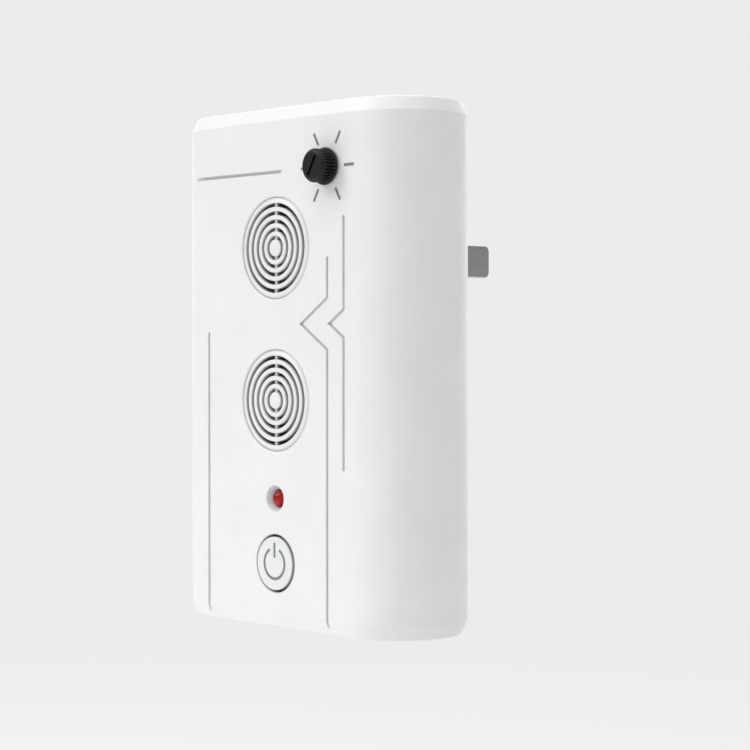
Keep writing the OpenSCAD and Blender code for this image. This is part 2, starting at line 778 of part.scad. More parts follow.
module resistors() color([0.75, 0.65, 0.5]) in_body()
    for (p = resistor_at)
        axial_part(resistor[0], resistor[1], resistor_pitch, p);

module controller_chip() color([0.1, 0.1, 0.1]) in_body() {
    bar(span(chip_at.x, chip_half.x), chip_y, span(chip_at.y, chip_half.y));
    for (p = chip_pin_at)
        bar([min(p.x, chip_at.x), max(p.x, chip_at.x)], [chip_pin_front, chip_pin_front + pin_w],
            span(p.y, pin_w / 2));
    pins(chip_pin_at, [chip_pin_front, pin_end]);
}

module driver_transistors() color([0.1, 0.1, 0.1]) in_body() {
    for (p = transistor_at)
        difference() {
            rod(transistor_r, transistor_y, p);
            bar(span(p.x, 2 * transistor_r), [front, board_front],
                [p.y + transistor_flat, p.y + 2 * transistor_r]);
        }
    pins(transistor_pin_at, [transistor_y[1], pin_end]);
}

module inductor_core() color([0.25, 0.25, 0.27]) in_body() {
    rod(inductor_r[0], [winding_y[1], board_front], inductor_at);
    rod(inductor_r[1], winding_y, inductor_at);
    rod(inductor_r[0], [winding_y[0] - inductor_rim, winding_y[0]], inductor_at);
    pins(inductor_pin_at, [board_front, pin_end]);
}

module inductor_winding() color([0.75, 0.4, 0.2]) in_body()
    tube(winding_r, inductor_r[1], winding_y, inductor_at);

module blade(side) {
    translate([side * blade_pitch / 2, (blade_tail + boss_back + blade_out) / 2, plug_z])
        rotate(90)
            rounded_block([boss_back + blade_out - blade_tail, blade_w], blade_round, span(0, blade_t / 2));
    bar(span(side * blade_pitch / 2, blade_t / 2), [boss_inner - shoulder[1], boss_inner],
        span(plug_z, shoulder[0] / 2));
}

module left_blade() color([0.72, 0.72, 0.74]) in_body() blade(-1);
module right_blade() color([0.72, 0.72, 0.74]) in_body() blade(1);

// Quarter turn of wire in the XY plane, its centre at the origin, from -Y round to +X or back
module wire_elbow(turn)
    rotate(turn)
        rotate_extrude(angle = 90)
            translate([wire_bend, 0])
                circle(r = wire_r);

// Wire from a blade's tail to its pad behind the board
module wire_run(side) {
    tail_x = blade_pitch / 2;
    translate([0, 0, plug_z])
        mirror([side < 0 ? 1 : 0, 0, 0]) {
            rod(wire_r, [wire_mid_y + wire_bend, blade_tail], [tail_x, 0]);
            translate([tail_x + wire_bend, wire_mid_y + wire_bend, 0])
                wire_elbow(180);
            translate([tail_x + wire_bend, wire_mid_y, 0])
                rotate([0, 90, 0])
                    cylinder(r = wire_r, h = wire_x - tail_x - 2 * wire_bend);
            translate([wire_x - wire_bend, wire_mid_y - wire_bend, 0])
                wire_elbow(0);
            rod(wire_r, [board_back, wire_mid_y - wire_bend], [wire_x, 0]);
        }
}

module left_wire() color([0.15, 0.15, 0.15]) in_body() wire_run(-1);
module right_wire() color([0.85, 0.85, 0.85]) in_body() wire_run(1);

module blade_retainer() color([0.2, 0.2, 0.2]) in_body()
    difference() {
        rounded_block(retainer_size, retainer_round, retainer, [0, plug_z]);
        for (side = [-1, 1])
            bar(span(side * blade_pitch / 2, blade_t / 2 + blade_gap), retainer + span(0, lap),
                span(plug_z, blade_w / 2 + blade_gap));
        for (end = [-1, 1])
            rod(board_screw_r + head_gap, retainer + span(0, lap), [0, plug_z + end * retainer_screw_z]);
    }

module retainer_screws() color([0.7, 0.7, 0.72]) in_body()
    for (end = [-1, 1])
        translate([0, 2 * retainer[0], plug_z + end * retainer_screw_z])
            rotate([0, 0, 180])
                screw(board_screw_r, retainer_screw_len, retainer_head, retainer[0]);

front_shell();
rear_cover();
upper_grille();
lower_grille();
dial_scale();
cover_screws();
adjustment_knob();
pot_shaft();
pot_wiper();
pot_body();
pot_cover();
pot_track();
pot_pins();
power_button();
power_symbol();
switch_plunger();
switch_body();
switch_cover();
switch_dome();
switch_pins();
lamp_lens();
lamp_leads();
lamp_spacer();
upper_gasket();
upper_sounder_can();
upper_sounder_screen();
upper_sounder_horn();
upper_sounder_plate();
upper_sounder_ceramic();
upper_sounder_base();
upper_sounder_pins();
lower_gasket();
lower_sounder_can();
lower_sounder_screen();
lower_sounder_horn();
lower_sounder_plate();
lower_sounder_ceramic();
lower_sounder_base();
lower_sounder_pins();
circuit_board();
board_screws();
solder_joints();
film_capacitor();
filter_capacitor();
bridge_rectifier();
fuse_resistor();
resistors();
controller_chip();
driver_transistors();
inductor_core();
inductor_winding();
left_blade();
right_blade();
left_wire();
right_wire();
blade_retainer();
retainer_screws();
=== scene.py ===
"""Plug-in ultrasonic pest repeller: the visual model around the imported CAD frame.

Shapes are drawn in millimetres in the row frame (+Y towards the wall, +Z up) and scaled to metres
when a piece is made. Positions come from the CAD nodes' boxes.
"""

import json
import math

import bmesh
import bpy
from mathutils import Matrix, Vector


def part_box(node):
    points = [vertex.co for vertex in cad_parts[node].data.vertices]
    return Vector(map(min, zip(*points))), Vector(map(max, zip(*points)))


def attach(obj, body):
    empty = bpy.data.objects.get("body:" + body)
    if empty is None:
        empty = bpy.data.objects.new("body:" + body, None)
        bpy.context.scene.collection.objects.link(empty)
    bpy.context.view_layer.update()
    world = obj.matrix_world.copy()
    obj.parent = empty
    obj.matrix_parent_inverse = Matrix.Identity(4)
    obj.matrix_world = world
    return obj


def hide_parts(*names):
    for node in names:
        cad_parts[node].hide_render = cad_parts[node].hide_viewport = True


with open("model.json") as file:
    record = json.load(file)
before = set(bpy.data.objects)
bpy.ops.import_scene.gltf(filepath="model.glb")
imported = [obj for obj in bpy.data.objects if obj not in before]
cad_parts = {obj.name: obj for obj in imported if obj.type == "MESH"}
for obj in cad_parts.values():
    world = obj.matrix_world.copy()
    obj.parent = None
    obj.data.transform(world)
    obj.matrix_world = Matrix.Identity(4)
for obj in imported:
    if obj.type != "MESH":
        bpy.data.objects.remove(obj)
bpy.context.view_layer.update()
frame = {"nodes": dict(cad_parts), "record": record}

MM = 0.001
FAR = 1.0  # how far a cutter runs past what it cuts


# ---------------------------------------------------------------- places


def limits(node):
    """Lowest and highest corner of a CAD node, in millimetres."""
    lo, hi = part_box(node)
    return Vector(lo) / MM, Vector(hi) / MM


def middle(node):
    """Middle of a CAD node as a flat (x, z) point."""
    lo, hi = limits(node)
    return (lo.x + hi.x) / 2, (lo.z + hi.z) / 2


SHELL_LO, SHELL_HI = limits("front_shell")
FRONT = SHELL_LO.y
BOSS_BACK = limits("rear_cover")[1].y
TOP = SHELL_HI.z
BOTTOM = SHELL_LO.z
MID_Z = (TOP + BOTTOM) / 2
ROUND_R = 12.5  # radius of the body's round sides
BACK = FRONT + 2 * ROUND_R
AXIS_Y = FRONT + ROUND_R
STRAIGHT = (SHELL_HI.x - SHELL_LO.x) / 2 - ROUND_R
JOINT_Y = BACK - 3.3  # where the front shell meets the rear cover
JOINT_CHAMFER = 0.12
WALL = 2.0
BEVEL_H, BEVEL_IN = 2.55, 1.1
END_RIM = 1.2  # ring of the flat ends that the outline runs over before its cap

UPPER = middle("upper_grille")
LOWER = middle("lower_grille")
DIAL = middle("adjustment_knob")
LAMP = middle("lamp_lens")
BUTTON = middle("power_button")
BOSS = ((limits("left_blade")[0].x + limits("right_blade")[1].x) / 2, middle("left_blade")[1])


# ---------------------------------------------------------------- mesh helpers


def arc_corner(before, corner, after, radius, steps):
    """Points of a rounded corner of a flat polyline."""
    p = Vector(corner)
    u, v = (Vector(before) - p).normalized(), (Vector(after) - p).normalized()
    half = math.acos(max(-1, min(1, u.dot(v)))) / 2
    reach = radius / math.tan(half)
    centre = p + (u + v).normalized() * (radius / math.sin(half))
    start, end = p + u * reach - centre, p + v * reach - centre
    a0 = math.atan2(start.y, start.x)
    turn = (math.atan2(end.y, end.x) - a0 + math.pi) % (2 * math.pi) - math.pi
    angles = [a0 + turn * k / steps for k in range(steps + 1)]
    return [(centre.x + radius * math.cos(a), centre.y + radius * math.sin(a)) for a in angles]


def softened(points, steps=4, closed=False):
    """A flat polyline of (a, b) or (a, b, radius), its corners rounded by their radius."""
    out, n = [], len(points)
    for i, point in enumerate(points):
        radius = point[2] if len(point) > 2 else 0
        if not radius or (not closed and i in (0, n - 1)):
            out.append(tuple(point[:2]))
            continue
        out += arc_corner(points[i - 1][:2], point[:2], points[(i + 1) % n][:2], radius, steps)
    return out


def skin(bm, rings):
    """Quads between rings of equal length, with a flat cap at each end."""
    made = [[bm.verts.new(p) for p in ring] for ring in rings]
    n = len(made[0])
    for a, b in zip(made, made[1:]):
        for i in range(n):
            bm.faces.new((a[i], a[(i + 1) % n], b[(i + 1) % n], b[i]))
    bm.faces.new(made[0][::-1])
    bm.faces.new(made[-1])


def lathe(bm, profile, at, steps=96):
    """Turned shape about the Y axis through at. A profile from axis to axis is solid, else a closed ring."""
    turned = []
    for r, y in profile:
        if r < 1e-6:
            turned.append([bm.verts.new((at[0], y, at[1]))])
            continue
        angles = [2 * math.pi * i / steps for i in range(steps)]
        turned.append([bm.verts.new((at[0] + r * math.cos(a), y, at[1] + r * math.sin(a))) for a in angles])
    pairs = list(zip(turned, turned[1:]))
    if len(turned[0]) > 1:
        pairs.append((turned[-1], turned[0]))
    for a, b in pairs:
        for i in range(steps):
            j = (i + 1) % steps
            corners = [a[i % len(a)], a[j % len(a)], b[j % len(b)], b[i % len(b)]]
            corners = [v for k, v in enumerate(corners) if v not in corners[:k]]
            if len(corners) > 2:
                bm.faces.new(corners)


def outline(points, half, round_steps=8):
    """Outline of a line of half width half through flat points, mitred inside and round at its ends."""
    pts = [Vector(p) for p in points]
    left, right = [], []
    for i, p in enumerate(pts):
        d0 = (pts[max(i, 1)] - pts[max(i, 1) - 1]).normalized()
        d1 = (pts[min(i + 1, len(pts) - 1)] - pts[min(i + 1, len(pts) - 1) - 1]).normalized()
        n0, n1 = Vector((-d0.y, d0.x)), Vector((-d1.y, d1.x))
        m = (n0 + n1) / (1 + n0.dot(n1))
        left.append(p + m * half)
        right.append(p - m * half)

    def cap(centre, start):
        a0 = math.atan2(start.y, start.x)
        turns = [a0 - math.pi * k / round_steps for k in range(1, round_steps)]
        return [centre + Vector((math.cos(a), math.sin(a))) * half for a in turns]

    return left + cap(pts[-1], left[-1] - pts[-1]) + right[::-1] + cap(pts[0], right[0] - pts[0])


def ribbon(bm, points, layers):
    """Solid along flat (x, z) points; layers are (half width, y) from front to back."""
    skin(bm, [[(p.x, y, p.y) for p in outline(points, half)] for half, y in layers])


def lip_layers(half, front, floor, lip=0.1, floor_round=0.12):
    """Half widths and depths of a cut with a rounded lip at the front and a rounded floor."""
    layers = [(half + lip + 0.25, front - FAR)]
    for k in range(4):
        t = math.radians(15 + 25 * k)
        layers.append((half + lip - lip * math.sin(t), front + lip - lip * math.cos(t)))
    inner, low = half - floor_round, floor - floor_round
    for k in range(4):
        t = math.radians(30 * k)
        layers.append((inner + floor_round * math.cos(t), low + floor_round * math.sin(t)))
    return layers


def hole_profile(radius, front, end, lip=0.1, reach=None, steps=4):
    """Profile of a round cutter with a rounded lip at the front face, lip deep and reach wide."""
    reach = reach or lip
    profile = [(0, front - FAR), (radius + reach + 0.25, front - FAR)]
    for k in range(steps):
        t = math.radians(15 + 75 * k / (steps - 1))
        profile.append((radius + reach * (1 - math.sin(t)), front + lip * (1 - math.cos(t))))
    return profile + [(radius, end), (0, end)]


def rounded_rect(w, h, r, at, steps=8):
    """Outline of a rounded rectangle as flat (x, z) points."""
    x, z = at
    corners = [(x - w / 2, z - h / 2), (x + w / 2, z - h / 2), (x + w / 2, z + h / 2), (x - w / 2, z + h / 2)]
    return softened([(*c, r) for c in corners], steps, closed=True)


def rounded_block(bm, size, r, at, layers, steps=8):
    """Solid of rounded rectangles; layers are (growth on every side, y)."""
    w, h = size
    rings = []
    for grow, y in layers:
        flat = rounded_rect(w + 2 * grow, h + 2 * grow, r + grow, at, steps)
        rings.append([(x, y, z) for x, z in flat])
    skin(bm, rings)


def box(bm, lo, hi):
    """Square block between two corners."""
    (x0, y0, z0), (x1, y1, z1) = lo, hi
    skin(bm, [[(x0, y, z0), (x1, y, z0), (x1, y, z1), (x0, y, z1)] for y in (y0, y1)])


def draft(build):
    """A scratch object, in millimetres, from a function that fills a bmesh."""
    bm = bmesh.new()
    build(bm)
    bmesh.ops.recalc_face_normals(bm, faces=bm.faces)
    mesh = bpy.data.meshes.new("draft")
    bm.to_mesh(mesh)
    bm.free()
    obj = bpy.data.objects.new("draft", mesh)
    bpy.context.scene.collection.objects.link(obj)
    return obj


def combine(obj, other, operation="DIFFERENCE"):
    """obj with other taken away or added; other is used up."""
    boolean = obj.modifiers.new("cut", "BOOLEAN")
    boolean.operation, boolean.solver, boolean.object = operation, "EXACT", other
    bpy.context.view_layer.update()
    graph = bpy.context.evaluated_depsgraph_get()
    mesh = bpy.data.meshes.new_from_object(obj.evaluated_get(graph))
    obj.modifiers.clear()
    obj.data = mesh
    bpy.data.objects.remove(other)
    return obj


def piece(obj, name, body, slot, *nodes, sharp=38):
    """Turns a scratch object into a finished piece on a body, standing for CAD nodes."""
    bm = bmesh.new()
    bm.from_mesh(obj.data)
    bmesh.ops.remove_doubles(bm, verts=bm.verts, dist=2e-4)
    bmesh.ops.dissolve_degenerate(bm, edges=bm.edges, dist=1e-4)
    bmesh.ops.recalc_face_normals(bm, faces=bm.faces)
    bm.to_mesh(obj.data)
    bm.free()
    obj.data.transform(Matrix.Scale(MM, 4))
    obj.name = obj.data.name = name
    obj.data.shade_smooth()
    obj.data.set_sharp_from_angle(angle=math.radians(sharp))
    weighted = obj.modifiers.new("normals", "WEIGHTED_NORMAL")
    weighted.keep_sharp = True
    weighted.weight = 80
    obj.data.materials.clear()
    obj.data.materials.append(MATERIALS[slot])
    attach(obj, body)
    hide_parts(*nodes)
    return obj


# ---------------------------------------------------------------- materials


class Look:
    """A node material with short calls for what the looks below share."""

    def __init__(self, name, **inputs):
        self.material = bpy.data.materials.new(name)
        self.material.use_nodes = True
        self.tree = self.material.node_tree
        self.bsdf = self.tree.nodes["Principled BSDF"]
        for key, value in inputs.items():
            self.bsdf.inputs[key.replace("_", " ")].default_value = value
        self.coords = self.tree.nodes.new("ShaderNodeTexCoord").outputs["Object"]
        self.height = None

    def link(self, a, b):
        self.tree.links.new(a, b)

    def stretched(self, scale):
        """Object coordinates multiplied by scale along each axis."""
        mapping = self.tree.nodes.new("ShaderNodeMapping")
        mapping.inputs["Scale"].default_value = scale
        self.link(self.coords, mapping.inputs["Vector"])
        return mapping.outputs["Vector"]

    def noise(self, scale, detail=3, rough=0.5, stretch=None):
        """Noise with features of 1/scale metres."""
        node = self.tree.nodes.new("ShaderNodeTexNoise")
        node.inputs["Scale"].default_value = scale
        node.inputs["Detail"].default_value = detail
        node.inputs["Roughness"].default_value = rough
        self.link(self.stretched(stretch) if stretch else self.coords, node.inputs["Vector"])
        return node.outputs["Fac"]

    def ramp(self, value, stops):
        """Colour ramp; a stop is (position, grey or colour)."""
        node = self.tree.nodes.new("ShaderNodeValToRGB")
        for element, (position, colour) in zip(self._elements(node, len(stops)), stops):
            rgb = colour if isinstance(colour, tuple) else (colour,) * 3
            element.position = position
            element.color = (*rgb, 1)
        self.link(value, node.inputs["Fac"])
        return node.outputs["Color"]

    @staticmethod
    def _elements(node, count):
        """A ramp's elements, filled up to count."""
        while len(node.color_ramp.elements) < count:
            node.color_ramp.elements.new(0.5)
        return node.color_ramp.elements

    def maths(self, operation, *values):
        """Result of a Math node on sockets or numbers."""
        node = self.tree.nodes.new("ShaderNodeMath")
        node.operation = operation
        for socket, value in zip(node.inputs, values):
            if isinstance(value, (int, float)):
                socket.default_value = value
            else:
                self.link(value, socket)
        return node.outputs[0]

    def below_skin(self):
        """How far a point of the front half lies below the outer skin of the body, in millimetres."""
        half = (TOP - BOTTOM) / 2
        from_middle = self.tree.nodes.new("ShaderNodeVectorMath")
        from_middle.operation = "SUBTRACT"
        self.link(self.stretched((1 / MM, 1 / MM, 1 / MM)), from_middle.inputs[0])
        from_middle.inputs[1].default_value = (0, AXIS_Y, MID_Z)
        split = self.tree.nodes.new("ShaderNodeSeparateXYZ")
        self.link(from_middle.outputs[0], split.inputs[0])
        past_flat = self.maths("SUBTRACT", self.maths("ABSOLUTE", split.outputs[0]), STRAIGHT)
        across = self.maths("MAXIMUM", past_flat, 0.0)
        ahead = self.maths("MAXIMUM", self.maths("MULTIPLY", split.outputs[1], -1.0), 0.0)
        to_end = self.maths("SUBTRACT", half, self.maths("ABSOLUTE", split.outputs[2]))
        past = self.maths("MAXIMUM", self.maths("SUBTRACT", BEVEL_H, to_end), 0.0)
        squares = self.maths("ADD", self.maths("POWER", across, 2.0), self.maths("POWER", ahead, 2.0))
        wall = self.maths("SUBTRACT", ROUND_R, self.maths("POWER", squares, 0.5))
        depth = self.maths("SUBTRACT", wall, self.maths("MULTIPLY", past, BEVEL_IN / BEVEL_H))
        nearest = self.maths("MINIMUM", depth, to_end)
        return self.maths("MULTIPLY", nearest, self.maths("GREATER_THAN", ahead, 0.0))

    def shadowed(self, colour, stops, lift):
        """The colour darkened with depth below a surface lift outside the skin, as painted shade; stops are
        (depth, tone).
        """
        span = self.maths("DIVIDE", self.maths("ADD", self.below_skin(), lift), RECESS_REACH)
        # painted shade: the deeper a point lies below the skin, the darker its colour
        dull = self.ramp(span, [(depth / RECESS_REACH, level) for depth, level in stops])
        mix = self.tree.nodes.new("ShaderNodeMix")
        mix.data_type, mix.blend_type = "RGBA", "MULTIPLY"
        mix.inputs["Factor"].default_value = 1.0
        self.link(colour, mix.inputs["A"])
        self.link(dull, mix.inputs["B"])
        return mix.outputs["Result"]

    def colour(self, socket):
        self.link(socket, self.bsdf.inputs["Base Color"])

    def roughness(self, socket):
        self.link(socket, self.bsdf.inputs["Roughness"])

    def bump(self, value, distance, strength=1.0):
        """Adds relief of that many metres on top of the relief already there."""
        node = self.tree.nodes.new("ShaderNodeBump")
        node.inputs["Distance"].default_value = distance
        node.inputs["Strength"].default_value = strength
        self.link(value, node.inputs["Height"])
        if self.height:
            self.link(self.height, node.inputs["Normal"])
        self.height = node.outputs["Normal"]
        self.link(self.height, self.bsdf.inputs["Normal"])


def shade(colour, by):
    """The colour multiplied by a number, kept within range."""
    return tuple(max(0.0, min(1.0, c * by)) for c in colour)


def plastic(name, colour, rough=0.4, grain=2600, relief=4e-6, mottle=0.02, recess=None, lift=0.0, **inputs):
    """Moulded plastic: fine eroded grain, slow waviness of the tool, a hint of uneven tone and gloss."""
    look = Look(name, **inputs)
    cloud = look.noise(90, detail=4)
    tone = look.ramp(cloud, [(0.3, shade(colour, 1 - mottle)), (0.7, shade(colour, 1 + mottle))])
    # with recess stops the tone is darkened in hollows as painted shade
    look.colour(look.shadowed(tone, recess, lift) if recess else tone)
    look.roughness(look.ramp(look.noise(420, detail=5), [(0.3, rough - 0.05), (0.7, rough + 0.05)]))
    look.bump(look.noise(160, detail=1), 1.2e-5, 0.25)
    look.bump(look.noise(grain, detail=4, rough=0.65), relief, 0.5)
    return look.material


def metal(name, colour, rough=0.3, brushed=None, relief=2e-6, tarnish=0.12, scale=700):
    """Bare metal: brushed or rolled along one direction, with clouded tarnish."""
    look = Look(name, Metallic=1.0)
    cloud = look.noise(scale / 3, detail=5, rough=0.6)
    look.colour(look.ramp(cloud, [(0.25, shade(colour, 1 - tarnish)), (0.75, colour)]))
    lines = look.noise(scale, detail=4, rough=0.7, stretch=brushed)
    look.roughness(look.ramp(lines, [(0.25, rough - 0.08), (0.75, rough + 0.1)]))
    look.bump(lines, relief, 0.6)
    return look.material


def printed_ink(name, colour):
    """Pad-printed ink: matt, with a speckle of thin spots."""
    look = Look(name)
    look.colour(look.ramp(look.noise(9000, detail=2), [(0.25, shade(colour, 1.25)), (0.6, colour)]))
    look.roughness(look.ramp(look.noise(4000), [(0.3, 0.5), (0.7, 0.65)]))
    look.bump(look.noise(7000), 3e-6, 0.5)
    return look.material


def foam(name, colour):
    """Open-cell foam: round dark pores."""
    look = Look(name, Sheen_Weight=0.3)
    cells = look.tree.nodes.new("ShaderNodeTexVoronoi")
    cells.inputs["Scale"].default_value = 2400
    look.link(look.coords, cells.inputs["Vector"])
    pores = cells.outputs["Distance"]
    # the pores are darkened to a quarter of the colour: painted shade inside them
    look.colour(look.ramp(pores, [(0.1, shade(colour, 0.25)), (0.5, colour)]))
    look.roughness(look.ramp(look.noise(1500), [(0.3, 0.85), (0.7, 0.95)]))
    look.bump(pores, 1.2e-4, 0.8)
    return look.material


def ceramic(name, colour, rough=0.5, speckle=0.25, scale=5000, **inputs):
    """Fired or printed layer: fine speckle under a dull surface."""
    look = Look(name, **inputs)
    specks = look.noise(scale, detail=5, rough=0.7)
    look.colour(look.ramp(specks, [(0.35, shade(colour, 1 - speckle)), (0.65, colour)]))
    look.roughness(look.ramp(look.noise(scale / 6), [(0.3, rough - 0.06), (0.7, rough + 0.06)]))
    look.bump(look.noise(scale, detail=3), 4e-6, 0.6)
    return look.material


def laminate(name, colour):
    """Circuit board: glass weave showing through solder mask."""
    look = Look(name, Coat_Weight=0.3, Coat_Roughness=0.2)
    waves = []
    for stretch in ((1, 0, 0), (0, 0, 1)):
        wave = look.tree.nodes.new("ShaderNodeTexWave")
        wave.inputs["Scale"].default_value = 500
        wave.inputs["Distortion"].default_value = 0.4
        look.link(look.stretched(stretch), wave.inputs["Vector"])
        waves.append(wave.outputs["Fac"])
    weave = look.maths("MULTIPLY", *waves)
    look.colour(look.ramp(weave, [(0.0, shade(colour, 0.8)), (1.0, shade(colour, 1.15))]))
    look.roughness(look.ramp(look.noise(300), [(0.3, 0.35), (0.7, 0.5)]))
    look.bump(weave, 8e-6, 0.6)
    return look.material


def wound(name, colour):
    """Enamelled wire laid side by side."""
    look = Look(name, Metallic=0.7, Coat_Weight=0.8, Coat_Roughness=0.1)
    wave = look.tree.nodes.new("ShaderNodeTexWave")
    wave.bands_direction = "Y"
    wave.inputs["Scale"].default_value = 900
    wave.inputs["Distortion"].default_value = 0.6
    look.link(look.coords, wave.inputs["Vector"])
    turns = wave.outputs["Fac"]
    # the copper is darkened in the troughs between turns: painted shade in the gaps between wires
    look.colour(look.ramp(turns, [(0.0, shade(colour, 0.35)), (0.6, colour)]))
    look.roughness(look.ramp(look.noise(2000), [(0.3, 0.25), (0.7, 0.4)]))
    look.bump(turns, 1e-4, 0.8)
    return look.material


def banded(name, colour, bands):
    """Resistor body: lacquer with colour bands across its length."""
    look = Look(name, Coat_Weight=0.5, Coat_Roughness=0.15)
    split = look.tree.nodes.new("ShaderNodeSeparateXYZ")
    look.link(look.coords, split.inputs[0])
    lo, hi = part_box("resistors")
    span = look.tree.nodes.new("ShaderNodeMapRange")
    span.inputs["From Min"].default_value = lo.x
    span.inputs["From Max"].default_value = hi.x
    look.link(split.outputs[0], span.inputs["Value"])
    stops = [(0.0, colour)]
    edge, width = 0.005, 0.05
    for start, band in bands:
        end = start + width
        stops += [(start, colour), (start + edge, band), (end, band), (end + edge, colour)]
    look.colour(look.ramp(span.outputs["Result"], stops))
    look.roughness(look.ramp(look.noise(1200), [(0.3, 0.3), (0.7, 0.42)]))
    look.bump(look.noise(1500), 2e-5, 0.4)
    return look.material


def lamp_epoxy(name):
    """Tinted, slightly diffusing epoxy: deep red with a faint swirl."""
    look = Look(
        name,
        Coat_Weight=0.04,
        Coat_Roughness=0.15,
        Specular_IOR_Level=0.25,
        Subsurface_Weight=0.3,
        Subsurface_Scale=0.0004,
        Subsurface_Radius=(1.0, 0.12, 0.1),
    )
    swirl = look.noise(1400, detail=3)
    look.colour(look.ramp(swirl, [(0.3, (0.34, 0.008, 0.008)), (0.7, (0.46, 0.013, 0.012))]))
    look.roughness(look.ramp(look.noise(900), [(0.3, 0.14), (0.7, 0.2)]))
    look.bump(look.noise(1800), 3e-6, 0.3)
    return look.material


WHITE = (0.86, 0.86, 0.86)
# Painted shade in hollows: how deep places are darkened, as (millimetres below the skin, grey or colour to
# multiply by)
RECESS_REACH = 2.0
SHELL_RECESS_SHADE = [
    (0.13, 1.0),
    (0.24, 0.85),
    (0.66, 0.85),
    (0.8, (0.66, 0.72, 0.72)),
    (1.1, (0.5, 0.56, 0.56)),
    (2.0, 0.2),
]
TRIM_RECESS_SHADE = [(0.1, 1.0), (0.3, 0.74), (0.65, 0.55), (1.0, 0.2)]
BUTTON_RECESS_SHADE = [(0.05, 1.0), (0.12, 0.6), (0.6, 0.5), (1.0, 0.45)]
BUTTON_OUT = 0.1
MATERIALS = {
    "shell_plastic": plastic("shell_plastic", WHITE, rough=0.42, recess=SHELL_RECESS_SHADE),
    "trim_plastic": plastic("trim_plastic", (0.85, 0.85, 0.85), rough=0.38, recess=TRIM_RECESS_SHADE),
    "button_plastic": plastic(
        "button_plastic",
        (0.82, 0.82, 0.82),
        rough=0.38,
        recess=BUTTON_RECESS_SHADE,
        lift=BUTTON_OUT,
    ),
    "dial_ink": printed_ink("dial_ink", (0.2, 0.2, 0.2)),
    "symbol_ink": printed_ink("symbol_ink", (0.19, 0.22, 0.24)),
    "knob_plastic": plastic(
        "knob_plastic",
        (0.008, 0.008, 0.0085),
        rough=0.48,
        grain=5000,
        relief=6e-6,
        mottle=0.2,
        Specular_IOR_Level=0.3,
    ),
    "lamp_epoxy": lamp_epoxy("lamp_epoxy"),
    "screw_steel": metal("screw_steel", (0.62, 0.62, 0.63), rough=0.32, scale=2500),
    "blade_nickel": metal("blade_nickel", (0.53, 0.525, 0.515), rough=0.3, brushed=(1, 0.04, 1), scale=5000),
    "tinned_metal": metal("tinned_metal", (0.72, 0.72, 0.72), rough=0.35, scale=2200),
    "can_aluminium": metal("can_aluminium", (0.75, 0.76, 0.77), rough=0.38, brushed=(1, 0.1, 1), scale=3000),
    "screen_black": metal("screen_black", (0.06, 0.06, 0.06), rough=0.55, scale=4000),
    "brass_disc": metal("brass_disc", (0.78, 0.6, 0.3), rough=0.3, scale=3000),
    "ceramic_disc": ceramic("ceramic_disc", (0.72, 0.7, 0.64)),
    "black_plastic": plastic("black_plastic", (0.03, 0.03, 0.03), rough=0.5, mottle=0.15),
    "gasket_foam": foam("gasket_foam", (0.05, 0.05, 0.05)),
    "nylon": plastic("nylon", (0.8, 0.78, 0.72), rough=0.5, Subsurface_Weight=0.1, Subsurface_Scale=0.001),
    "pot_green": plastic("pot_green", (0.05, 0.2, 0.12), rough=0.4, mottle=0.08),
    "carbon_track": ceramic("carbon_track", (0.035, 0.035, 0.035), rough=0.55),
    "board_laminate": laminate("board_laminate", (0.03, 0.2, 0.07)),
    "solder": metal("solder", (0.7, 0.7, 0.72), rough=0.22, scale=1500),
    "film_case": plastic("film_case", (0.55, 0.36, 0.05), rough=0.35, mottle=0.06),
    "capacitor_sleeve": plastic("capacitor_sleeve", (0.03, 0.04, 0.12), rough=0.28, mottle=0.1),
    "resistor_body": banded(
        "resistor_body",
        (0.5, 0.36, 0.2),
        [(0.36, (0.25, 0.1, 0.03)), (0.46, (0.02, 0.02, 0.02)), (0.56, (0.6, 0.1, 0.02))],
    ),
    "ferrite": ceramic("ferrite", (0.06, 0.06, 0.065), rough=0.6, speckle=0.4, scale=3500),
    "copper_winding": wound("copper_winding", (0.7, 0.28, 0.1)),
    "wire_black": plastic("wire_black", (0.02, 0.02, 0.02), rough=0.4, mottle=0.1),
    "wire_white": plastic("wire_white", (0.8, 0.8, 0.78), rough=0.4),
}


# ---------------------------------------------------------------- body


def pill(bm, grow=0.0, soft=True):
    """Body outline swept from bottom to top with its bevels; grow is negative for the cavity."""
    height = (TOP - BOTTOM) / 2 + grow
    crease = height - BEVEL_H
    top_soft, crease_soft = (0.5, 0.35) if soft else (0, 0)
    half = [
        (-grow, 0),
        (-grow, crease, crease_soft),
        (BEVEL_IN - grow, height, top_soft),
        (BEVEL_IN - grow + END_RIM, height),
    ]
    upper = softened(half, 5)[1:]  # the first point only steers the first corner
    levels = [(inset, -z) for inset, z in upper[::-1]] + upper
    rings = []
    arc = 48
    for inset, z in levels:
        r = ROUND_R - inset
        ring = []
        for side, start in ((1, -90), (-1, 90)):
            for k in range(arc + 1):
                a = math.radians(start + 180 * k / arc)
                ring.append((side * STRAIGHT + r * math.cos(a), AXIS_Y + r * math.sin(a), MID_Z + z))
        rings.append(ring)
    skin(bm, rings)


